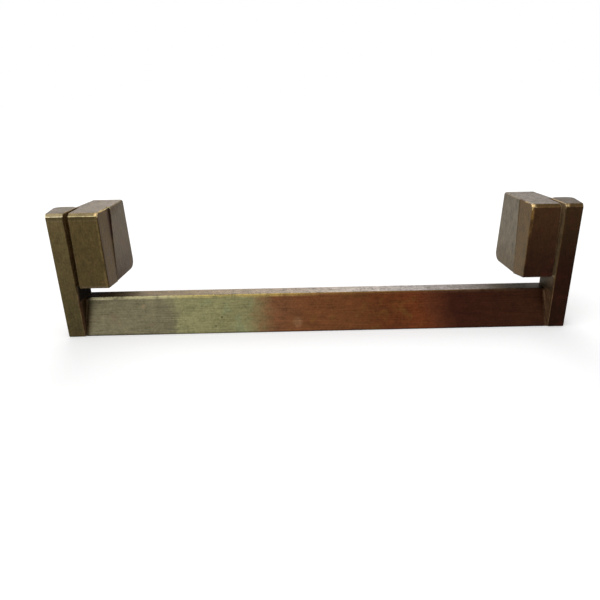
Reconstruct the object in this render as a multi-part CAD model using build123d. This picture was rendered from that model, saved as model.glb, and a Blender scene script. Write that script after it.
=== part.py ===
from build123d import *
import os
from math import cos, radians, sin, tan

# Bridge pull handle, cast in one piece. Millimetres, +Z up, X along the handle.
# Origin: midway between the two screw holes, on the plane of the cabinet's face.
# +Y goes into the cabinet and -Y towards the hand.
#
# Two posts stand square on the cabinet and carry a flat U-shaped frame that leans
# outward at its foot. The front die forms the frame and the two front blocks, which
# narrow grooves set apart from the frame's side strips. The rear die forms the
# posts. Block and post meet on the parting plane, which leans further than the frame.

# ---- posts and screw holes ----
hole_spacing = 128.0        # centre to centre
post_width = 9.4            # on the cabinet's face
post_height = 22.0
post_reach = 19.2           # from the cabinet's face to the frame's top front edge
post_outer_draft = 0.9      # each post grows this much outward, from the cabinet to the parting
left_step = 0.45            # the left post stands this proud of its block, at the top of the parting
right_step = 0.1            # and the right post this much
post_heel_radius = 3.0      # lower rear corner
post_edge_radius = 0.7
core_diameter = 3.3         # core hole of an M4 thread
core_depth = 12.0           # full bore, without the drill's point
drill_point_angle = 118.0
countersink = 0.4

# ---- leaning frame ----
frame_lean = 4.4            # degrees out of plumb, foot outward
frame_height = 36.35
frame_depth = 9.6           # square to its front face
strip_width = 4.8           # on the front face
strip_flare = 1.9           # each strip grows this much outward, from its face to its back
strip_inner_draft = 0.25    # and this much inward
strip_back_radius = 1.8     # rear corners

# ---- front blocks and the grooves beside them ----
block_inset = 0.4           # its inner side stands this far out from the post's
block_width = 8.1           # on the front face, at the top
left_block_height = 21.5    # on the front face; the foot slopes down to the post's height
right_block_height = 20.9
block_depth = 8.3           # back to the parting, at the top
block_foot_radius = 0.7
parting_lean = 8.8          # degrees out of plumb, so the block is thinner at its foot
groove_width = 1.35         # on the front face, at the top
groove_taper = 0.4          # the block grows this much into the groove, from its top to its foot
groove_draft = 0.4          # and this much, from its face to its back
groove_depth = 2.2          # into the front face
groove_top_depth = 1.2      # into the top face

# ---- bar ----
bar_height = 10.35
bar_top_recess = 4.9        # its front face stands back from the strips at the top
bar_foot_recess = 0.12      # and nearly meets them at the foot
bar_edge_radius = 0.5       # top edges
root_reach = 1.1            # the blend to a strip reaches this far from the corner, at the top
root_foot_reach = 0.15      # and this far at its foot
root_foot_gap = 1.2         # where the blend starts, above the frame's foot
root_hollow = 1.35          # radius of its hollow, as a share of its reach

# ---- edges ----
brow_chamfer = 0.8          # top front edges of strips and blocks
edge_radius = 0.35          # the other edges of strips and blocks
smooth_angle = 15.0         # degrees; faces that meet at less than this are one blend
fuse_overlap = 0.6          # how far one form runs into the next
blend_overlap = 0.05        # and how far a blend does

# ---- places worked out from the sizes ----
lean = radians(frame_lean)
top_z = post_height / 2
post_foot_z = top_z - post_height
foot_z = top_z - frame_height
bar_top_z = foot_z + bar_height

hole_x = hole_spacing / 2
post_inner_x = hole_x - post_width / 2
post_outer_x = hole_x + post_width / 2
block_inner_x = post_inner_x + block_inset
block_outer_x = block_inner_x + block_width
strip_inner_x = block_outer_x + groove_width
strip_outer_x = strip_inner_x + strip_width


def front_y(z):
    """The frame's front plane at height z."""
    return -post_reach - (top_z - z) * tan(lean)


def back_y(z):
    """The frame's rear plane at height z."""
    return front_y(z) + frame_depth / cos(lean)


def parting_y(z):
    """The plane where block meets post, at height z."""
    return -post_reach + block_depth - (top_z - z) * tan(radians(parting_lean))


def bar_front_y(z):
    """The bar's front face at height z."""
    share = (z - foot_z) / bar_height
    return front_y(z) + bar_foot_recess + share * (bar_top_recess - bar_foot_recess)


def side_prism(points, x_from, x_to):
    """A closed (y, z) outline carried along X."""
    outline = make_face(Polyline(*points, close=True))
    return extrude(Plane.YZ.offset(x_from) * outline, amount=x_to - x_from)


def leaning_prism(points, spread=0):
    """A closed (x, y) outline at the top, carried down parallel to the frame to its foot.

    The spread is how far outward it goes for each millimetre down."""
    outline = make_face(Polyline(*points, close=True))
    down = Vector(spread, -tan(lean), -1)
    return extrude(Plane.XY.offset(top_z) * outline, amount=frame_height * down.length, dir=down)


def edge_along_x(shape, y, z):
    """The edge that runs along X through the point (y, z)."""
    edges = shape.edges().filter_by(Axis.X)
    return edges.sort_by(lambda edge: abs(edge.center().Y - y) + abs(edge.center().Z - z))[0]


def sharp_edges(shape):
    """The edges where two faces meet at a real angle."""
    found = ShapeList()
    for edge in shape.edges():
        middle = edge.position_at(0.5)
        normals = [face.normal_at(middle) for face in shape.faces() if edge in face.edges()]
        if len(normals) == 2 and normals[0].get_angle(normals[1]) > smooth_angle:
            found.append(edge)
    return found


def soften(shape, covered, radius):
    """Round the sharp edges, apart from the covered ones, where another form is joined on."""
    return fillet([edge for edge in sharp_edges(shape) if edge not in covered], radius)


def strip():
    """One side strip of the frame, wider on its back than on its face."""
    body = leaning_prism([
        (strip_inner_x, front_y(top_z)), (strip_outer_x, front_y(top_z)),
        (strip_outer_x + strip_flare, back_y(top_z)), (strip_inner_x - strip_inner_draft, back_y(top_z)),
    ])
    upright = body.edges().filter_by(lambda edge: abs(edge.tangent_at(0.5).Z) > cos(2 * lean))
    body = fillet(upright.sort_by(Axis.Y)[-2:], strip_back_radius)
    body = chamfer(edge_along_x(body, front_y(top_z), top_z), brow_chamfer)
    at_foot = body.faces().sort_by(Axis.Z)[0].edges()
    under_bar = at_foot.filter_by(lambda edge: edge.center().X < strip_inner_x + strip_back_radius)
    under_bar = under_bar.filter_by(lambda edge: edge.center().Y > front_y(foot_z) + edge_radius)
    return soften(body, under_bar, edge_radius)


def block(height):
    """The block in front of one post, from the frame's front plane back to the parting."""
    block_foot_z = top_z - height
    start_x = block_inner_x - groove_taper - fuse_overlap
    plan = leaning_prism([
        (start_x, front_y(top_z)), (block_outer_x, front_y(top_z)),
        (block_outer_x + groove_draft, parting_y(top_z)), (start_x, parting_y(top_z)),
    ], spread=groove_taper / height)
    side = side_prism([
        (front_y(top_z), top_z), (parting_y(top_z), top_z),
        (parting_y(post_foot_z), post_foot_z), (front_y(block_foot_z), block_foot_z),
    ], block_inner_x, strip_inner_x)
    body = plan & side
    body = chamfer(edge_along_x(body, front_y(top_z), top_z), brow_chamfer)
    body = fillet(edge_along_x(body, front_y(block_foot_z), block_foot_z), block_foot_radius)
    back_face = body.faces().sort_by(Axis.Y)[-1]
    return soften(body, back_face.edges(), edge_radius)


def groove_floor(height):
    """The metal behind and below the groove, which joins block and strip."""
    block_foot_z = top_z - height
    floor_top_z = top_z - groove_top_depth
    foot_run = parting_y(post_foot_z) - front_y(block_foot_z)
    foot_slope = (post_foot_z - block_foot_z) / foot_run
    return side_prism([
        (front_y(floor_top_z) + groove_depth, floor_top_z), (parting_y(floor_top_z), floor_top_z),
        (parting_y(post_foot_z), post_foot_z),
        (front_y(block_foot_z) + groove_depth, block_foot_z + foot_slope * groove_depth),
    ], block_outer_x - fuse_overlap, strip_inner_x + fuse_overlap)


def post(step):
    """One post, from the parting to the cabinet."""
    at_parting = make_face(Polyline(
        (block_inner_x - step, parting_y(top_z), top_z),
        (post_outer_x + post_outer_draft, parting_y(top_z), top_z),
        (post_outer_x + post_outer_draft, parting_y(post_foot_z), post_foot_z),
        (block_inner_x, parting_y(post_foot_z), post_foot_z), close=True))
    at_cabinet = make_face(Polyline(
        (post_inner_x, 0, top_z), (post_outer_x, 0, top_z),
        (post_outer_x, 0, post_foot_z), (post_inner_x, 0, post_foot_z), close=True))
    body = loft([at_parting, at_cabinet], ruled=True)
    body = fillet(edge_along_x(body, 0, post_foot_z), post_heel_radius)
    front_face = body.faces().sort_by(Axis.Y)[0]
    return soften(body, front_face.edges(), post_edge_radius)


def bar():
    """The bar across the frame's foot, with its front face tipped back."""
    reach = strip_inner_x + strip_back_radius
    body = side_prism([
        (bar_front_y(foot_z), foot_z), (back_y(foot_z), foot_z),
        (back_y(bar_top_z), bar_top_z), (bar_front_y(bar_top_z), bar_top_z),
    ], -reach, reach)
    along = body.edges().filter_by(Axis.X).sort_by(Axis.Z)
    body = fillet(along[2:], bar_edge_radius)
    along = body.edges().filter_by(Axis.X).sort_by(Axis.Z)
    return fillet(along[:2], edge_radius)


def root_section(z, reach):
    """The blend's section at height z: a hollow from the bar's face to the strip's side."""
    face_y, side_x = bar_front_y(z), strip_inner_x
    on_bar = (side_x - reach, face_y + blend_overlap, z)
    on_strip = (side_x + blend_overlap, face_y - reach, z)
    in_bar_y, in_strip_x = face_y + fuse_overlap, side_x + fuse_overlap
    inside = Polyline(
        on_strip, (in_strip_x, face_y - reach, z), (in_strip_x, in_bar_y, z),
        (side_x - reach, in_bar_y, z), on_bar)
    return make_face(RadiusArc(on_bar, on_strip, reach * root_hollow) + inside)


def root():
    """The hollow blend between the bar's front face and a strip, narrowing to the foot."""
    top = root_section(bar_top_z - bar_edge_radius / 2, root_reach)
    foot = root_section(foot_z + root_foot_gap, root_foot_reach)
    return loft([top, foot], ruled=True)


def screw_hole():
    """Blind core hole of one screw thread, drilled from the cabinet's side."""
    radius = core_diameter / 2
    point_depth = radius / tan(radians(drill_point_angle / 2))
    outline = make_face(Polyline(
        (0, countersink), (radius + 2 * countersink, countersink), (radius, -countersink),
        (radius, -core_depth), (0, -core_depth - point_depth), close=True))
    return Pos(X=hole_x) * revolve(outline, Axis.Y)


def end(block_height, step):
    """One end of the handle, with its post standing proud of its block by the step."""
    return strip() + block(block_height) + groove_floor(block_height) + post(step) + root() - screw_hole()


def handle():
    """The whole casting: its two ends and the bar between them."""
    left = mirror(end(left_block_height, left_step), about=Plane.YZ)
    return bar() + end(right_block_height, right_step) + left


os.makedirs("parts", exist_ok=True)
casting = handle()
export_step(casting, "parts/pull_handle.step")
size = casting.bounding_box().size
print(f"pull_handle {size.X:.1f} x {size.Y:.1f} x {size.Z:.1f} mm, {casting.volume / 1000:.1f} cm3")
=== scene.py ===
import bmesh
import bpy
from math import cos, pi, radians, sin
from mathutils import Matrix, Vector


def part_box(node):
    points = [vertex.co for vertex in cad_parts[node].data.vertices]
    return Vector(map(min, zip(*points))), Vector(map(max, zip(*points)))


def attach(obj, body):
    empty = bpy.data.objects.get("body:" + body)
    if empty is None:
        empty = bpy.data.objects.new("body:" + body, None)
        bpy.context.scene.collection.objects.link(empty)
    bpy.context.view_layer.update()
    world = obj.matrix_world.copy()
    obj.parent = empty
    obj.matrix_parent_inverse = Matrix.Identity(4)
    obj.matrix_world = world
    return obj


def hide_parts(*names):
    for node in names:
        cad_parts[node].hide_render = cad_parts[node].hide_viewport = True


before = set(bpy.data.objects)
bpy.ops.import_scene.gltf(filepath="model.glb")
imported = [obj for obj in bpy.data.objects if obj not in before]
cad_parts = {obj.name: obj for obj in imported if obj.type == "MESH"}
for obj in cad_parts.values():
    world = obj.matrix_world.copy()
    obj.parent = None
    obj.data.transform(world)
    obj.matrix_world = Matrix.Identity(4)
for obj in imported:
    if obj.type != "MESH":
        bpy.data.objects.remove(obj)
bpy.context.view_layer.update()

MM = 0.001

# ---- camera ----
LENS_MM = 27.9
SENSOR_MM = 36.0
NEAREST_SEEN = 10.0 * MM
AIM = Vector((-1.27, -19.2, -16.15)) * MM
CAMERA_DISTANCE = 138.0 * MM
AZIMUTH = radians(0.52)
ELEVATION = radians(23.53)
ROLL = radians(-1.03)
FRAME_SHIFT = -0.0209

# ---- light and floor ----
ROOM_STRENGTH = 0.62
PAPER_GLOW = 0.19           # lifts the paper to white where it is seen
PAPER_WHITE = 0.96
PAPER_HALF_SIZE = 6.0       # metres
# each lamp's name, the direction it shines from, its strength and its spread in degrees
LAMPS = (
    ("overhead_left", (-0.75, -0.55, 1.15), 0.85, 55),
    ("window_behind", (-0.15, 1.0, 0.62), 0.75, 40),
)

# ---- screw threads: M4, cut from the core hole outward ----
HOLE_X = 64.0 * MM
THREAD_PITCH = 0.7 * MM
THREAD_START = 0.6 * MM
THREAD_END = -10.6 * MM
THREAD_ROOT_RADIUS = 2.0 * MM
THREAD_INNER_RADIUS = 1.55 * MM
THREAD_ROOT_HALF = 0.05 * MM
THREAD_MOUTH_HALF = 0.31 * MM
THREAD_STEPS_A_TURN = 36
SHARP_EDGE = radians(32)    # edges that turn further than this stay crisp

# ---- places on the casting, in millimetres ----
TOP_Z = 11.0
FOOT_Z = -25.35
BAR_TOP_Z = -15.0
BLOCK_FOOT_Z = -10.5        # the left block's; the right one ends a little higher
FRONT_TOP_Y = -19.2
FACE_SLOPE = 0.0769         # how much the front face comes forward for each millimetre down
PARTING_TOP_Y = -10.9
PARTING_SLOPE = 0.1548
BLOCK_INNER_X = 59.7
GROOVE_X = (67.55, 69.35)   # a little beyond its two walls
STRIP_INNER_X = 69.15
HOLE_RIM_RADIUS = 2.2       # just outside the countersink
HOLE_FLOOR_Y = -13.0
BROW_FOOT_Z = 8.6

# ---- the skin of the metal ----
METAL_SHARE = 0.6
GLANCING_TINT = (0.94, 0.88, 0.8, 1)
CLEAR_GLOSS = 0.1
ROUGHNESS = 0.42
SHADE_ROUGHNESS = 0.55       # how much rougher it is in the painted shade of the left nook and the bar's left end
GRAIN_HEIGHT = 0.02 * MM

# patina and painted reflections along the bar's front face, from its left end to its right end; the dark
# right end is partly painted shade
BAR_LENGTH_SPAN = (-70, 70)
BAR_PATINA_AND_REFLECTIONS = (
    (-69.0, (106, 100, 77)), (-58.0, (108, 102, 79)), (-44.5, (106, 100, 77)), (-41.0, (124, 121, 86)),
    (-30.0, (125, 122, 85)), (-20.0, (119, 114, 79)), (-15.5, (114, 88, 58)), (-12.5, (108, 70, 45)),
    (-2.0, (104, 63, 36)), (10.0, (99, 59, 32)), (20.0, (90, 48, 24)), (30.0, (97, 48, 23)),
    (35.5, (84, 43, 24)), (41.0, (53, 24, 14)), (58.0, (51, 25, 13)), (69.0, (53, 28, 15)),
)
# along its top: painted shade at both ends, and pale between, partly wear and partly painted sheen
BAR_TOP_SHADE_AND_SHEEN = (
    (-69.0, (38, 30, 16)), (-62.0, (62, 50, 28)), (-52.0, (90, 74, 48)), (-40.0, (100, 86, 62)),
    (-30.0, (112, 98, 79)), (-10.0, (122, 110, 98)), (10.0, (146, 137, 129)), (28.0, (150, 143, 140)),
    (44.0, (130, 122, 118)), (56.0, (72, 64, 54)), (64.0, (40, 32, 22)), (69.0, (28, 22, 14)),
)
# and along the edge between them: rubbed brass and a painted highlight
BAR_EDGE_WEAR_AND_HIGHLIGHT = (
    (-68.0, (226, 217, 172)), (-57.0, (192, 184, 140)), (-44.0, (168, 160, 118)), (-38.0, (172, 155, 95)),
    (-10.0, (167, 142, 79)), (0.0, (140, 108, 63)), (20.0, (117, 88, 51)), (50.0, (84, 64, 46)),
    (68.0, (66, 48, 34)),
)
# dents in the bar's face: x, z and radius, how dark or pale
BAR_DENTS = (
    (-28.5, -21.0, 0.34, -0.6), (-30.3, -23.3, 0.3, -0.5),
    (-5.8, -22.7, 1.3, 0.3), (-52.0, -17.6, 0.5, 0.25),
)
# corners rubbed to bare brass and painted brighter as glints: x, y, z, radius and how far
RUBBED_AND_GLINTING_CORNERS = (
    (59.8, -19.0, 10.6, 1.5, 0.95), (-59.8, -19.0, 10.6, 1.2, 0.9), (69.5, -19.0, 10.6, 1.1, 0.6),
    (59.6, -15.5, 10.95, 1.6, 0.4), (-59.7, -16.0, 10.9, 2.4, 0.5), (74.4, -19.0, 10.2, 1.0, 0.5),
)


def colour(red, green, blue):
    """A colour as the shader takes it, from its usual 0 to 255 values."""
    return tuple(
        c / 12.92 if c <= 0.04045 else ((c + 0.055) / 1.055) ** 2.4
        for c in (red / 255, green / 255, blue / 255)
    ) + (1.0,)


# ---------------------------------------------------------------- camera, light, floor

def make_camera():
    """Looks along +Y and down on the handle's top front edges."""
    data = bpy.data.cameras.new("camera")
    data.lens = LENS_MM
    data.sensor_width = SENSOR_MM
    data.clip_start = NEAREST_SEEN
    data.shift_x = FRAME_SHIFT
    camera = bpy.data.objects.new("camera", data)
    bpy.context.scene.collection.objects.link(camera)
    forward = Vector((sin(AZIMUTH) * cos(ELEVATION), cos(AZIMUTH) * cos(ELEVATION), -sin(ELEVATION)))
    level_right = Vector((cos(AZIMUTH), -sin(AZIMUTH), 0))
    level_up = level_right.cross(forward)
    right = level_right * cos(ROLL) + level_up * sin(ROLL)
    up = right.cross(forward)
    turn = Matrix((right, up, -forward)).transposed().to_4x4()
    camera.matrix_world = Matrix.Translation(AIM - forward * CAMERA_DISTANCE) @ turn
    bpy.context.scene.camera = camera


def make_lamp(name, direction, strength, spread):
    """A broad soft white lamp, very far off, that shines from the direction given."""
    data = bpy.data.lights.new(name, "SUN")
    data.energy = strength
    data.angle = radians(spread)
    lamp = bpy.data.objects.new(name, data)
    lamp.rotation_euler = Vector(direction).to_track_quat("Z", "Y").to_euler()
    bpy.context.scene.collection.objects.link(lamp)


def seen_or_mirrored(tree):
    """1 where something is seen, mirrored or looked at through glass, and 0 for the light it gives."""
    path = tree.nodes.new("ShaderNodeLightPath")
    share = path.outputs["Is Camera Ray"]
    for ray in ("Is Glossy Ray", "Is Transmission Ray"):
        either = tree.nodes.new("ShaderNodeMath")
        either.operation = "MAXIMUM"
        tree.links.new(share, either.inputs[0])
        tree.links.new(path.outputs[ray], either.inputs[1])
        share = either.outputs[0]
    return share


def make_room():
    """A plain soft room light, with a white background wherever it is seen or mirrored."""
    room = bpy.data.worlds.new("room")
    bpy.context.scene.world = room
    room.use_nodes = True
    tree = room.node_tree
    background = tree.nodes["Background"]
    background.inputs["Color"].default_value = (1, 1, 1, 1)
    strength = tree.nodes.new("ShaderNodeMapRange")
    strength.inputs["To Min"].default_value = ROOM_STRENGTH
    strength.inputs["To Max"].default_value = 1.0
    tree.links.new(seen_or_mirrored(tree), strength.inputs["Value"])
    tree.links.new(strength.outputs["Result"], background.inputs["Strength"])


def make_paper():
    """The floor's white paper."""
    material = bpy.data.materials.new("floor_paper")
    material.use_nodes = True
    tree = material.node_tree
    shader = tree.nodes["Principled BSDF"]
    shader.inputs["Base Color"].default_value = (PAPER_WHITE, PAPER_WHITE, PAPER_WHITE, 1)
    shader.inputs["Roughness"].default_value = 0.9
    shader.inputs["Specular IOR Level"].default_value = 0.0
    shader.inputs["Emission Color"].default_value = (1, 1, 1, 1)
    glow = tree.nodes.new("ShaderNodeMath")
    glow.operation = "MULTIPLY"
    glow.inputs[1].default_value = PAPER_GLOW
    tree.links.new(seen_or_mirrored(tree), glow.inputs[0])
    tree.links.new(glow.outputs[0], shader.inputs["Emission Strength"])
    return material


def make_floor():
    """A wide sheet of paper that the bar's foot rests on."""
    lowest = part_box("pull_handle")[0].z
    bm = bmesh.new()
    bmesh.ops.create_grid(bm, x_segments=1, y_segments=1, size=PAPER_HALF_SIZE)
    bmesh.ops.translate(bm, vec=(0, 0, lowest), verts=bm.verts)
    mesh = bpy.data.meshes.new("floor")
    bm.to_mesh(mesh)
    bm.free()
    floor = bpy.data.objects.new("floor", mesh)
    bpy.context.scene.collection.objects.link(floor)
    mesh.materials.append(make_paper())


# ---------------------------------------------------------------- the casting

def thread_cutter(side):
    """The metal that an M4 tap takes out of one core hole: a V groove wound along the hole."""
    bm = bmesh.new()
    x = side * HOLE_X
    outline = (
        (THREAD_INNER_RADIUS, -THREAD_MOUTH_HALF), (THREAD_ROOT_RADIUS, -THREAD_ROOT_HALF),
        (THREAD_ROOT_RADIUS, THREAD_ROOT_HALF), (THREAD_INNER_RADIUS, THREAD_MOUTH_HALF))
    ring = [bm.verts.new((x + radius, THREAD_START + half, 0)) for radius, half in outline]
    start = bm.faces.new(ring)
    turns = (THREAD_START - THREAD_END) / THREAD_PITCH
    steps = round(turns * THREAD_STEPS_A_TURN)
    bmesh.ops.spin(
        bm, geom=[start] + list(start.edges) + list(start.verts), cent=(x, 0, 0), axis=(0, 1, 0),
        dvec=(0, -THREAD_PITCH / THREAD_STEPS_A_TURN, 0), angle=turns * 2 * pi, steps=steps,
        use_duplicate=False)
    bmesh.ops.remove_doubles(bm, verts=bm.verts, dist=1e-7)
    bmesh.ops.recalc_face_normals(bm, faces=bm.faces)
    mesh = bpy.data.meshes.new("thread_cutter")
    bm.to_mesh(mesh)
    bm.free()
    cutter = bpy.data.objects.new("thread_cutter", mesh)
    bpy.context.scene.collection.objects.link(cutter)
    return cutter


def merged_casting():
    """The casting's own skin, with its loose triangles joined up."""
    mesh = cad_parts["pull_handle"].data.copy()
    mesh.name = "casting"
    bm = bmesh.new()
    bm.from_mesh(mesh)
    bmesh.ops.remove_doubles(bm, verts=bm.verts, dist=1e-6)
    bm.to_mesh(mesh)
    bm.free()
    casting = bpy.data.objects.new("casting", mesh)
    bpy.context.scene.collection.objects.link(casting)
    return casting


def tap_holes(casting):
    """Cuts both threads, and leaves the result as the casting's mesh."""
    cutters = [thread_cutter(side) for side in (-1, 1)]
    for cutter in cutters:
        cut = casting.modifiers.new("tap", "BOOLEAN")
        cut.operation = "DIFFERENCE"
        cut.solver = "EXACT"
        cut.object = cutter
    bpy.context.view_layer.update()
    tapped = bpy.data.meshes.new_from_object(casting.evaluated_get(bpy.context.evaluated_depsgraph_get()))
    casting.modifiers.clear()
    casting.data = tapped
    for cutter in cutters:
        bpy.data.objects.remove(cutter)
    tapped.name = "casting"


def make_casting():
    """The whole casting as one closed skin, tapped from behind and shaded smooth over its rounded edges."""
    casting = merged_casting()
    tap_holes(casting)
    casting.data.shade_smooth()
    casting.data.set_sharp_from_angle(angle=SHARP_EDGE)
    level = casting.modifiers.new("level_faces", "WEIGHTED_NORMAL")
    level.keep_sharp = True
    level.weight = 100
    return casting


# ---------------------------------------------------------------- tools for the finish

class Finish:
    """Builds up one finish. Each method adds to it and gives back its value at every place."""

    def __init__(self, name):
        self.material = bpy.data.materials.new(name)
        self.material.use_nodes = True
        self.tree = self.material.node_tree
        self.shader = self.tree.nodes["Principled BSDF"]
        found = self.node("TexCoord")
        self.place = self.scaled(found.outputs["Object"], (1 / MM, 1 / MM, 1 / MM))
        self.x, self.y, self.z = self.node("SeparateXYZ", {"Vector": self.place}).outputs
        self.nx, self.ny, self.nz = self.node("SeparateXYZ", {"Vector": found.outputs["Normal"]}).outputs
        self.shade = None

    def feed(self, socket, value):
        if isinstance(value, bpy.types.NodeSocket):
            self.tree.links.new(value, socket)
        else:
            socket.default_value = value

    def node(self, kind, inputs=(), **settings):
        made = self.tree.nodes.new("ShaderNode" + kind)
        for name, value in settings.items():
            setattr(made, name, value)
        for name, value in dict(inputs).items():
            self.feed(made.inputs[name], value)
        return made

    def scaled(self, vector, factors):
        return self.node("VectorMath", {0: vector, 1: factors}, operation="MULTIPLY").outputs[0]

    def far_from(self, place, point):
        """How far each place is from a point, in millimetres."""
        return self.node("VectorMath", {0: place, 1: point}, operation="DISTANCE").outputs["Value"]

    def join(self, along_x, along_y, along_z):
        """A place from its three coordinates."""
        return self.node("CombineXYZ", {"X": along_x, "Y": along_y, "Z": along_z}).outputs[0]

    def sum_up(self, operation, *values):
        made = self.node("Math", operation=operation)
        for socket, value in zip(made.inputs, values):
            self.feed(socket, value)
        return made.outputs[0]

    def larger(self, first, second):
        return self.sum_up("MAXIMUM", first, second)

    def size_of(self, value):
        return self.sum_up("ABSOLUTE", value)

    def add(self, first, *others):
        for other in others:
            first = self.sum_up("ADD", first, other)
        return first

    def times(self, first, *others):
        for other in others:
            first = self.sum_up("MULTIPLY", first, other)
        return first

    def without(self, share):
        return self.sum_up("SUBTRACT", 1.0, share)

    def rise(self, value, start, end):
        """Goes smoothly from 0 to 1 as the value goes from start to end."""
        ends = {"Value": value, "From Min": start, "From Max": end}
        return self.node("MapRange", ends, interpolation_type="SMOOTHSTEP").outputs["Result"]

    def hump(self, value, start, full, full_end, end):
        """0 up to the start, 1 from full to full_end, and 0 again from the end on."""
        return self.times(self.rise(value, start, full), self.rise(value, end, full_end))

    def mottle(self, size, detail, offset=0.0, stretch=(1, 1, 1)):
        """Soft patches about the size given, in millimetres, from -1 to 1 and 0 on average."""
        place = self.scaled(self.place, tuple(1 / (size * s) for s in stretch))
        if offset:
            place = self.node("VectorMath", {0: place, 1: (offset, offset * 0.7, -offset)}).outputs[0]
        noise = self.node("TexNoise", {"Vector": place, "Scale": 1.0, "Detail": detail, "Roughness": 0.55})
        return self.times(self.sum_up("SUBTRACT", noise.outputs[0], 0.5), 4.0)

    def between(self, here, there, share):
        """A number that goes from one value to another with the share."""
        gap = self.sum_up("SUBTRACT", there, here)
        return self.add(here, self.times(share, gap))

    def paint(self, under, over, share):
        """One colour over another, by the share."""
        made = self.node("Mix", data_type="RGBA", clamp_factor=True)
        self.feed(made.inputs[0], share)
        self.feed(made.inputs[6], under)
        self.feed(made.inputs[7], over)
        return made.outputs[2]

    def cover(self, over, share):
        """Paints a colour over what the finish has so far."""
        self.shade = self.paint(self.shade, over, share)

    def tone(self, shade, factor):
        """Makes a colour lighter or darker by a factor."""
        made = self.node("VectorMath", {0: shade}, operation="SCALE")
        self.feed(made.inputs["Scale"], factor)
        return made.outputs[0]

    def ramp(self, value, stops):
        """Colours along the bar: each stop is a place in millimetres and its colour."""
        low, high = BAR_LENGTH_SPAN
        made = self.node("ValToRGB")
        share = self.node("MapRange", {"Value": value, "From Min": low, "From Max": high}).outputs["Result"]
        self.feed(made.inputs[0], share)
        elements = made.color_ramp.elements
        while len(elements) < len(stops):
            elements.new(1.0)
        for element, (at, shade) in zip(elements, stops):
            element.position = (at - low) / (high - low)
            element.color = colour(*shade)
        return made.outputs[0]

    def ends(self, at_left, at_right):
        """One colour on the handle's left half and another on its right half."""
        return self.paint(colour(*at_left), colour(*at_right), self.right)


# ---------------------------------------------------------------- where on the casting

def find_places(f):
    """Gives the finish its places: depths in millimetres, and shares from 0 to 1."""
    f.out = f.size_of(f.x)
    f.right = f.rise(f.x, -1.0, 1.0)
    f.left = f.without(f.right)
    drop = f.sum_up("SUBTRACT", TOP_Z, f.z)
    f.face_depth = f.add(f.y, -FRONT_TOP_Y, f.times(drop, FACE_SLOPE))
    f.parting_depth = f.add(f.y, -PARTING_TOP_Y, f.times(drop, PARTING_SLOPE))
    below_bar_top = f.rise(f.z, BAR_TOP_Z + 0.2, BAR_TOP_Z + 0.02)
    f.on_bar = f.times(below_bar_top, f.rise(f.out, STRIP_INNER_X, STRIP_INNER_X - 0.25))
    f.off_bar = f.without(f.on_bar)
    f.on_strip = f.rise(f.out, STRIP_INNER_X - 0.3, STRIP_INNER_X - 0.1)
    f.above_bar = f.rise(f.z, -13.0, -11.0)
    f.at_brow = f.rise(f.z, BROW_FOOT_Z, BROW_FOOT_Z + 0.4)
    nook_height = f.hump(f.z, BAR_TOP_Z - 0.2, BAR_TOP_Z + 0.6, BLOCK_FOOT_Z + 0.1, BLOCK_FOOT_Z + 0.9)
    nook_width = f.hump(f.out, 62.0, 64.0, STRIP_INNER_X + 0.3, STRIP_INNER_X + 0.6)
    f.nook = f.times(nook_height, f.rise(f.face_depth, 0.3, 1.2), nook_width)


def find_facings(f):
    """Gives the finish the way that each place faces, as shares from 0 to 1."""
    f.n_out = f.times(f.nx, f.sum_up("SIGN", f.x))
    f.up = f.rise(f.nz, 0.74, 0.92)
    f.under = f.rise(f.nz, -0.5, -0.8)
    f.front = f.rise(f.ny, -0.6, -0.9)
    f.back = f.rise(f.ny, 0.5, 0.8)
    f.inward = f.rise(f.n_out, -0.5, -0.8)
    f.outward = f.rise(f.n_out, 0.5, 0.8)
    # 1 on the flat faces, and less the more a surface turns away from every one of them
    f.flatness = f.larger(f.larger(f.size_of(f.nx), f.size_of(f.ny)), f.size_of(f.nz))


def find_mottles(f):
    """Gives the finish its mottling, from broad clouds down to fine speckle and brushed grain."""
    f.clouds = f.mottle(6.0, 3.0)
    f.patches = f.mottle(2.2, 3.0, 17.0)
    f.blots = f.mottle(3.6, 2.0, 41.0)
    f.speckle = f.mottle(0.6, 2.0, 5.0)
    f.grain_x = f.mottle(0.3, 3.0, 3.0, stretch=(26, 1, 1))
    f.grain_z = f.mottle(0.3, 3.0, 9.0, stretch=(1, 1, 16))
    f.rub = f.rise(f.add(f.patches, f.times(f.speckle, 0.6)), -0.9, 0.5)


# ---------------------------------------------------------------- the finish, coat by coat

def paint_faces(f):
    """Blocks and strips, seen from the front: olive with rusty blots, or umber with red ones. The right
    half's umber is partly patina and partly painted shade, as the light falls from the left.
    """
    olive_block = f.paint(colour(75, 63, 36), colour(80, 67, 39), f.rise(f.z, -10, 11))
    olive_strip = f.paint(colour(72, 63, 38), colour(90, 77, 48), f.rise(f.z, -24, 11))
    olive = f.paint(olive_block, olive_strip, f.on_strip)
    rusty = f.times(f.rise(f.blots, 0.1, 0.9), f.between(0.4, 0.2, f.on_strip))
    olive = f.paint(olive, colour(94, 70, 48), rusty)
    umber_block = f.paint(colour(37, 17, 6), colour(58, 37, 20), f.rise(f.z, -12, 12))
    umber_strip = f.paint(colour(33, 13, 4), colour(49, 33, 16), f.rise(f.z, -10, 12))
    umber = f.paint(umber_block, umber_strip, f.on_strip)
    umber = f.paint(umber, colour(62, 24, 16), f.times(f.rise(f.blots, 0.1, 0.9), 0.4))
    f.shade = f.paint(olive, umber, f.right)


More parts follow.
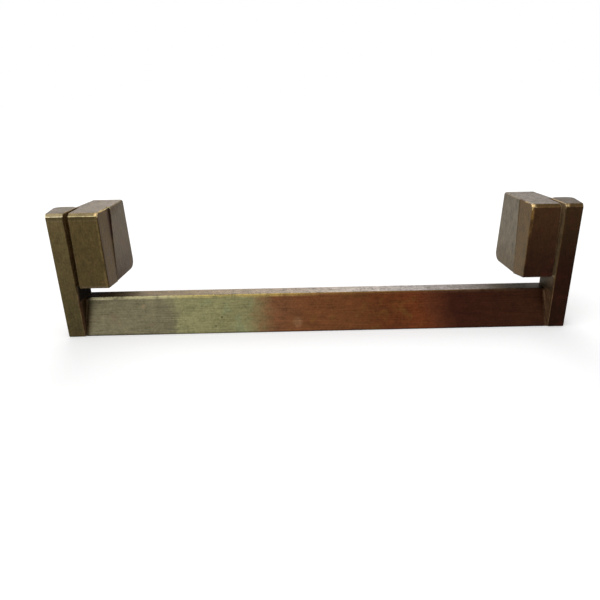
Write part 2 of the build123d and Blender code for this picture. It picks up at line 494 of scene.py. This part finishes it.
def paint_inner_sides(f):
    """The block's zone in front of the parting and the post's behind it, painted lighter at the right,
    where it faces the light.

    Gives back the right side's shade."""
    behind_parting = f.rise(f.parting_depth, -0.05, 0.05)
    # painted light: the right side is paler than the left; the post's sides get darker towards the bottom
    low = f.rise(f.z, 0.0, -9.0)
    post_left = f.paint(colour(81, 70, 55), colour(67, 54, 42), low)
    post_right = f.paint(colour(104, 96, 82), colour(94, 84, 68), low)
    side_left = f.paint(colour(73, 56, 30), post_left, behind_parting)
    side_left = f.paint(side_left, colour(88, 66, 55), f.times(f.rise(f.blots, 0.0, 0.8), 0.4))
    lit_side_right = f.paint(colour(87, 67, 39), post_right, behind_parting)
    f.cover(f.paint(side_left, lit_side_right, f.right), f.times(f.inward, f.above_bar))
    return lit_side_right


def paint_outer_sides(f):
    """Outer sides and backs, less handled: duller, with a greyer bloom towards the cabinet."""
    bloom = f.times(f.rise(f.y, -18.0, -3.0), f.rise(f.blots, -0.9, 0.5))
    outer = f.paint(f.ends((84, 71, 46), (60, 43, 27)), f.ends((92, 82, 66), (84, 72, 56)), bloom)
    f.cover(outer, f.times(f.larger(f.outward, f.back), f.rise(f.face_depth, 0.3, 1.5)))


def paint_undersides(f):
    """Rubbed a little brighter where they were fettled."""
    fettled = f.rise(f.add(f.patches, f.grain_x), -0.8, 0.6)
    f.cover(f.ends((98, 82, 52), (78, 58, 36)), f.times(f.under, fettled))


def paint_parting(f, lit_side_right):
    """A painted shadow of the step at the left block's top. Lower down, and at the right, only the step
    shows, in painted shade near the top at the left and in the right side's painted light at the right.
    """
    step_shadow = f.times(f.left, f.inward, f.hump(f.parting_depth, -2.2, -0.7, 0.0, 0.06), f.rise(f.z, 0.0, 4.5))
    f.cover(colour(54, 34, 28), f.times(step_shadow, 0.85))
    # the step's face: pale low down, and painted shade near the top
    step_left = f.paint(colour(160, 144, 122), colour(44, 25, 19), f.rise(f.z, 0.0, 3.0))
    step = f.times(f.rise(f.ny, -0.35, -0.6), f.rise(f.face_depth, 4.0, 5.0), f.above_bar)
    f.cover(f.paint(step_left, lit_side_right, f.right), step)


def paint_strip_walls(f):
    """The strips' inner walls beside the bar, with painted reflections and shade: dark at the left and
    darker away from the front edge, and lit at the right.
    """
    wall_left = f.paint(colour(96, 68, 50), colour(60, 40, 19), f.rise(f.face_depth, 0.8, 2.8))
    wall_right = f.paint(colour(104, 80, 56), colour(124, 94, 68), f.rise(f.face_depth, 0.3, 2.5))
    f.cover(f.paint(wall_left, wall_right, f.right), f.times(f.inward, f.without(f.above_bar)))


def paint_left_lip(f):
    """The left block's lower lip, a little paler."""
    across = f.hump(f.out, BLOCK_INNER_X - 0.2, BLOCK_INNER_X + 0.3, 67.3, 67.6)
    upward = f.hump(f.z, BLOCK_FOOT_Z - 0.1, BLOCK_FOOT_Z + 0.1, BLOCK_FOOT_Z + 0.6, BLOCK_FOOT_Z + 1.0)
    f.cover(colour(98, 82, 64), f.times(f.left, f.front, across, upward, 0.55))


def paint_nooks(f):
    """Painted shadow under each block's foot: near black at the left, and brown at the right, darker
    further back.
    """
    nook_right = f.paint(colour(78, 62, 44), colour(40, 36, 26), f.rise(f.face_depth, 1.5, 6.0))
    f.cover(f.paint(colour(10, 7, 4), nook_right, f.right), f.times(f.nook, 0.95))


def paint_tops(f):
    """Tops of blocks, posts and strips, paler and greyer than the faces as a painted sheen, with mauve and
    brown blots.
    """
    top_left = f.paint(colour(92, 82, 68), colour(88, 80, 66), f.on_strip)
    top_right = f.paint(colour(118, 110, 101), colour(74, 66, 54), f.on_strip)
    top = f.paint(top_left, top_right, f.right)
    top = f.paint(top, colour(106, 92, 90), f.times(f.rise(f.blots, 0.0, 0.7), 0.75))
    top = f.paint(top, colour(66, 51, 37), f.times(f.rise(f.blots, -0.1, -0.8), 0.7))
    f.cover(top, f.times(f.up, f.off_bar))


def paint_bar(f):
    """The bar's patches of patina mixed with painted reflections, with uneven borders, down to a foot
    darkened as painted shade.
    """
    f.drift = f.add(f.x, f.times(f.clouds, 2.0), f.times(f.patches, 1.2), f.times(f.grain_x, 1.0))
    # the ramp's colours are partly patina and partly painted reflections and shade
    patina = f.ramp(f.add(f.drift, f.times(f.right, f.add(f.z, 20.0), 0.3)), BAR_PATINA_AND_REFLECTIONS)
    copper = f.times(f.hump(f.x, -14.0, -6.0, 26.0, 38.0), f.rise(f.blots, 0.0, 0.9), 0.4)
    patina = f.paint(patina, colour(106, 76, 34), copper)
    green = f.times(f.hump(f.x, -40.0, -34.0, -22.0, -17.0), f.rise(f.blots, 0.0, 0.8), 0.4)
    patina = f.paint(patina, colour(114, 126, 94), green)
    rosy = f.times(f.rise(f.x, -40.0, -48.0), f.rise(f.blots, 0.1, 0.8), 0.4)
    patina = f.paint(patina, colour(114, 99, 78), rosy)
    f.cover(patina, f.on_bar)
    # painted shade along the bar's foot
    foot = f.rise(f.z, FOOT_Z + 0.65, FOOT_Z + 0.2)
    f.cover(f.tone(patina, 0.4), f.times(f.on_bar, foot, 0.85))


def bar_edge_wear_and_highlight(f):
    """The rubbed brass and painted highlight along the bar's top front edge, with uneven borders."""
    return f.ramp(f.add(f.x, f.times(f.patches, 3.0)), BAR_EDGE_WEAR_AND_HIGHLIGHT)


def paint_worn_lip(f):
    """The topmost half millimetre of the bar's face, rubbed in places, in the edge's colours of worn brass
    and painted highlight.
    """
    rubbed = f.rise(f.patches, -1.4, 0.4)
    lip = f.times(f.on_bar, f.front, f.rise(f.z, -15.95, -15.5), rubbed, f.between(0.65, 0.25, f.right))
    f.cover(bar_edge_wear_and_highlight(f), lip)


def paint_roots(f):
    """The bar's roots against the strips, in painted shade: dark at the left, and brown at the right."""
    ragged_out = f.add(f.out, f.times(f.patches, 0.3))
    root = f.times(f.rise(ragged_out, f.between(66.8, 67.9, f.right), 68.8), 0.85)
    f.cover(f.ends((54, 42, 23), (76, 56, 38)), f.times(root, f.on_bar))
    near_strip = f.hump(f.out, 66.0, 67.5, 69.2, 69.6)
    low = f.rise(f.z, BAR_TOP_Z + 0.8, BAR_TOP_Z + 0.2)
    f.by_root = f.times(near_strip, low, f.rise(f.face_depth, 0.1, 0.3))
    # painted shade in the left crease where the bar meets the strip
    crease = f.hump(f.out, 67.9, 68.6, STRIP_INNER_X - 0.09, STRIP_INNER_X - 0.03)
    f.cover(colour(44, 31, 15), f.times(f.by_root, f.left, crease, 0.85))


def paint_bar_top(f):
    """Painted shade at both ends, and pale between, partly wear and partly painted sheen."""
    f.cover(f.ramp(f.drift, BAR_TOP_SHADE_AND_SHEEN), f.times(f.on_bar, f.up))


def paint_worn_edges(f):
    """Worn brass on the rounded edges, but not beside the left root."""
    edge = f.times(f.rise(f.flatness, 0.985, 0.93), f.off_bar)
    edge = f.times(edge, f.without(f.times(f.by_root, f.left)))
    f.cover(f.ends((118, 104, 70), (92, 68, 40)), f.times(edge, f.rub, f.between(0.4, 0.12, f.right)))


def paint_block_edges(f):
    """The blocks' inner front edges: a brass band on the face, partly wear and partly painted highlight,
    then a dark line of painted shade down the left side.
    """
    across = f.hump(
        f.out, BLOCK_INNER_X - 0.1, BLOCK_INNER_X + 0.1, BLOCK_INNER_X + 0.4, BLOCK_INNER_X + 1.0)
    band = f.times(f.front, f.off_bar, across, f.above_bar, f.rise(f.face_depth, 1.0, 0.5))
    band_up = f.between(0.7, f.times(f.rise(f.z, 0.0, 9.0), 0.7), f.right)
    f.cover(f.ends((104, 88, 54), (122, 92, 48)), f.times(band, f.rise(f.patches, -1.2, 0.5), band_up))
    line = f.times(f.rise(f.n_out, -0.3, -0.55), f.hump(f.face_depth, 0.0, 0.02, 0.8, 1.5), f.above_bar)
    f.cover(colour(58, 42, 20), f.times(line, f.between(0.85, 0.0, f.right)))


def paint_brow(f):
    """The brow: a cut face, with bright lines along its upper and lower edges, partly rubbed brass and
    partly painted highlight, all painted paler at the left, where the light falls.
    """
    facing = f.times(f.rise(f.ny, -0.2, -0.35), f.rise(f.nz, 0.12, 0.3), f.at_brow)
    upper = f.times(f.hump(f.nz, 0.74, 0.8, 0.95, 0.99), f.rise(f.ny, -0.1, -0.25), f.at_brow)
    lower = f.times(f.hump(f.nz, 0.06, 0.2, 0.6, 0.69), f.rise(f.ny, -0.3, -0.5), f.at_brow)
    facing_left = f.paint(colour(122, 108, 76), colour(142, 128, 96), f.on_strip)
    facing_right = f.paint(colour(82, 62, 34), colour(76, 58, 33), f.on_strip)
    f.cover(f.paint(facing_left, facing_right, f.right), facing)
    f.cover(f.ends((136, 118, 94), (106, 92, 76)), upper)
    line_left = f.paint(colour(200, 186, 140), colour(242, 230, 188), f.on_strip)
    line = f.times(lower, f.larger(f.rub, f.between(0.75, 0.0, f.right)))
    f.cover(f.paint(line_left, colour(92, 70, 42), f.right), line)


def paint_bar_edge(f):
    """The bar's top front edge: worn brass and a painted highlight, brightest towards its left end."""
    turning = f.times(f.hump(f.nz, 0.5, 0.62, 0.94, 0.99), f.rise(f.ny, -0.1, -0.3))
    f.cover(bar_edge_wear_and_highlight(f), f.times(f.on_bar, turning, f.rise(f.out, 68.2, 67.2)))


def paint_grooves(f):
    """Painted light and shade in the grooves: dark at the left, where they are shaded, and pale at the
    right, where their walls face the light.
    """
    inner, outer = GROOVE_X
    across = f.hump(f.out, inner, inner + 0.12, outer - 0.1, outer)
    above_nook = f.rise(f.z, -10.6, -9.6)
    groove = f.times(across, above_nook, f.rise(f.face_depth, 0.12, 0.45), f.without(f.up))
    f.cover(f.ends((108, 86, 54), (146, 126, 98)), groove)


def paint_left_rim(f):
    """A dark rim below the left brow."""
    rim = f.times(f.left, f.front, f.off_bar, f.hump(f.z, 8.9, 9.5, 10.0, 10.25))
    f.cover(colour(62, 52, 25), f.times(rim, 0.5))


def paint_post_ends(f):
    """Ground flat: brass showing through in fine lines."""
    streaks = f.add(0.62, f.times(f.grain_z, 0.16), f.times(f.patches, 0.2))
    f.cover(f.ends((140, 118, 76), (120, 94, 60)), f.times(f.rise(f.y, -0.12, -0.05), streaks))


def paint_holes(f):
    """Tapped holes: bare cut brass."""
    from_axis = f.far_from(f.join(f.out, 0.0, f.z), (HOLE_X / MM, 0, 0))
    within = f.times(f.rise(from_axis, HOLE_RIM_RADIUS + 0.12, HOLE_RIM_RADIUS),
                     f.rise(f.y, HOLE_FLOOR_Y, HOLE_FLOOR_Y + 0.2), f.rise(f.y, 0.05, -0.02))
    f.cover(colour(184, 150, 88), within)


def paint_bare_corners(f):
    """The corners that hands and rags reach most, rubbed bare and painted brighter as glints."""
    bare = 0.0
    for at_x, at_y, at_z, radius, strength in RUBBED_AND_GLINTING_CORNERS:
        far = f.far_from(f.place, (at_x, at_y, at_z))
        bare = f.larger(bare, f.times(f.rise(far, radius, radius * 0.25), strength))
    f.cover(colour(236, 204, 146), f.times(bare, f.rise(f.flatness, 1.0, 0.94), f.rub))


def paint_dents(f):
    """The bar face's few dents: dark pits and pale scuffs. Gives back the pits."""
    flat = f.scaled(f.place, (1, 0, 1))
    pits = 0.0
    scuffs = 0.0
    for at_x, at_z, radius, depth in BAR_DENTS:
        far = f.far_from(flat, (at_x, 0, at_z))
        spot = f.times(f.rise(far, radius * 1.5, radius * 0.5), abs(depth), f.on_bar)
        if depth < 0:
            pits = f.larger(pits, spot)
        else:
            scuffs = f.larger(scuffs, spot)
    f.cover(colour(50, 38, 24), pits)
    f.cover(colour(150, 116, 84), scuffs)
    return pits


def mottle_skin(f):
    """Mottles the whole skin, most on the tops and along the brushed bar."""
    everywhere = f.add(
        1.0, f.times(f.clouds, 0.06), f.times(f.patches, f.between(0.17, 0.18, f.on_bar)),
        f.times(f.speckle, 0.22))
    brushed = f.add(f.times(f.on_bar, f.grain_x, 0.28), f.times(f.off_bar, f.grain_z, 0.2))
    inner_sides = f.times(f.inward, f.add(f.grain_z, f.patches), 0.12)
    tops = f.add(f.times(f.up, f.speckle, 0.4), f.times(f.up, f.patches, 0.3))
    f.shade = f.tone(f.shade, f.add(everywhere, brushed, inner_sides, tops))


def set_skin(f, pits):
    """Sheen, roughness and fine relief. In the left nook and on the bar's top beside it, the sheen is taken
    away to deepen the painted shade there.
    """
    beside_nook = f.times(f.on_bar, f.up, f.left, f.rise(f.out, 52.0, 64.0))
    dulled_shade = f.larger(f.times(f.nook, f.left), beside_nook)
    f.shader.inputs["Specular Tint"].default_value = GLANCING_TINT
    f.shader.inputs["Specular IOR Level"].default_value = CLEAR_GLOSS
    f.feed(f.shader.inputs["Base Color"], f.shade)
    f.feed(f.shader.inputs["Metallic"], f.times(METAL_SHARE, f.without(dulled_shade)))
    roughness = f.add(
        ROUGHNESS, f.times(dulled_shade, SHADE_ROUGHNESS), f.times(f.patches, 0.05), f.times(f.speckle, 0.04))
    f.feed(f.shader.inputs["Roughness"], roughness)
    grain = f.add(f.times(f.on_bar, f.grain_x, 0.7), f.times(f.off_bar, f.grain_z, 0.4))
    height = f.add(f.times(f.speckle, 0.8), grain, f.times(pits, -3.0))
    bump = f.node("Bump", {"Height": height, "Strength": 1.0, "Distance": GRAIN_HEIGHT})
    f.feed(f.shader.inputs["Normal"], bump.outputs[0])


def make_finish():
    """Antique brass: olive patina at the left, umber at the right that is partly painted shade, worn bright
    on the edges, with painted light and shade in corners, edges and tops.
    """
    f = Finish("antique_brass")
    find_places(f)
    find_facings(f)
    find_mottles(f)
    paint_faces(f)
    lit_side_right = paint_inner_sides(f)
    paint_outer_sides(f)
    paint_undersides(f)
    paint_parting(f, lit_side_right)
    paint_strip_walls(f)
    paint_left_lip(f)
    paint_nooks(f)
    paint_tops(f)
    paint_bar(f)
    paint_worn_lip(f)
    paint_roots(f)
    paint_bar_top(f)
    paint_worn_edges(f)
    paint_block_edges(f)
    paint_brow(f)
    paint_bar_edge(f)
    paint_grooves(f)
    paint_left_rim(f)
    paint_post_ends(f)
    paint_holes(f)
    paint_bare_corners(f)
    pits = paint_dents(f)
    mottle_skin(f)
    set_skin(f, pits)
    return f.material


bpy.context.scene.view_settings.view_transform = "Standard"
make_camera()
make_floor()
make_room()
for lamp in LAMPS:
    make_lamp(*lamp)

casting = make_casting()
casting.data.materials.clear()
casting.data.materials.append(make_finish())
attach(casting, "root")
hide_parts("pull_handle")
